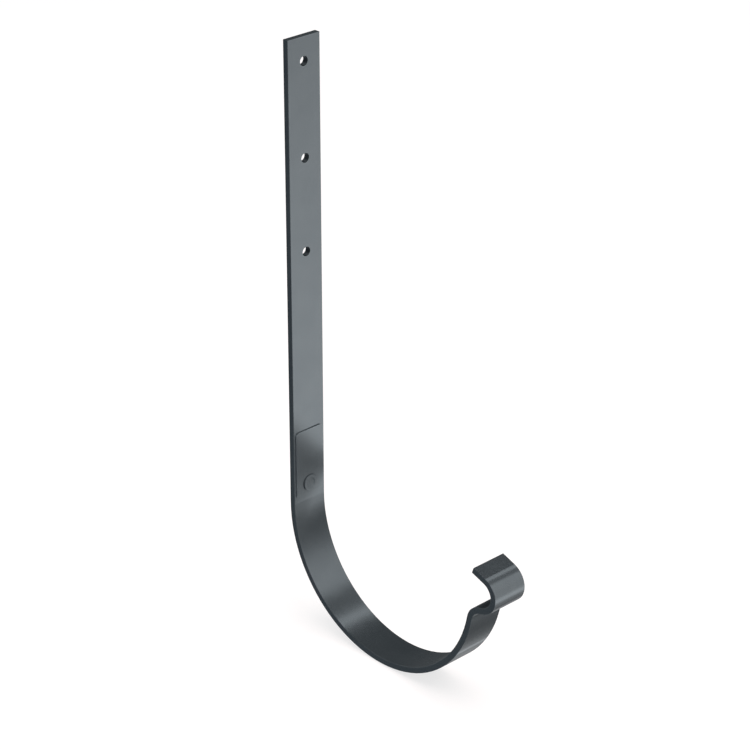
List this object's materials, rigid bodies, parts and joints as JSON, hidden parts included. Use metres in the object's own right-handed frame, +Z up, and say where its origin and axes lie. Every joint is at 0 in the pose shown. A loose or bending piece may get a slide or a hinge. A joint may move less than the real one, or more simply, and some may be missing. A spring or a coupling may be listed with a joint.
{
  "type": "gutter bracket",
  "caption": "Flat-bar bracket for a half-round gutter: a straight leg with fixing holes, a round seat, a front hook for the gutter's bead, and a thin rear tongue that folds over.",
  "frame": {"origin": "centre of the line of fixing holes, on the back face that lies against the rafter, in the middle of the bar's width", "axes": "+Z up along the leg, +Y into the rafter, so the gutter lies on the -Y side; X across the bar's width, along the gutter"},
  "size_m": [0.025, 0.1786, 0.3845],
  "materials": {
    "paint": "semi-gloss blue-grey powder coat"
  },
  "bodies": {
    "root": {"strap": "paint", "rear_tongue": "paint", "tongue_rivet": "paint"}
  },
  "joints": []
}
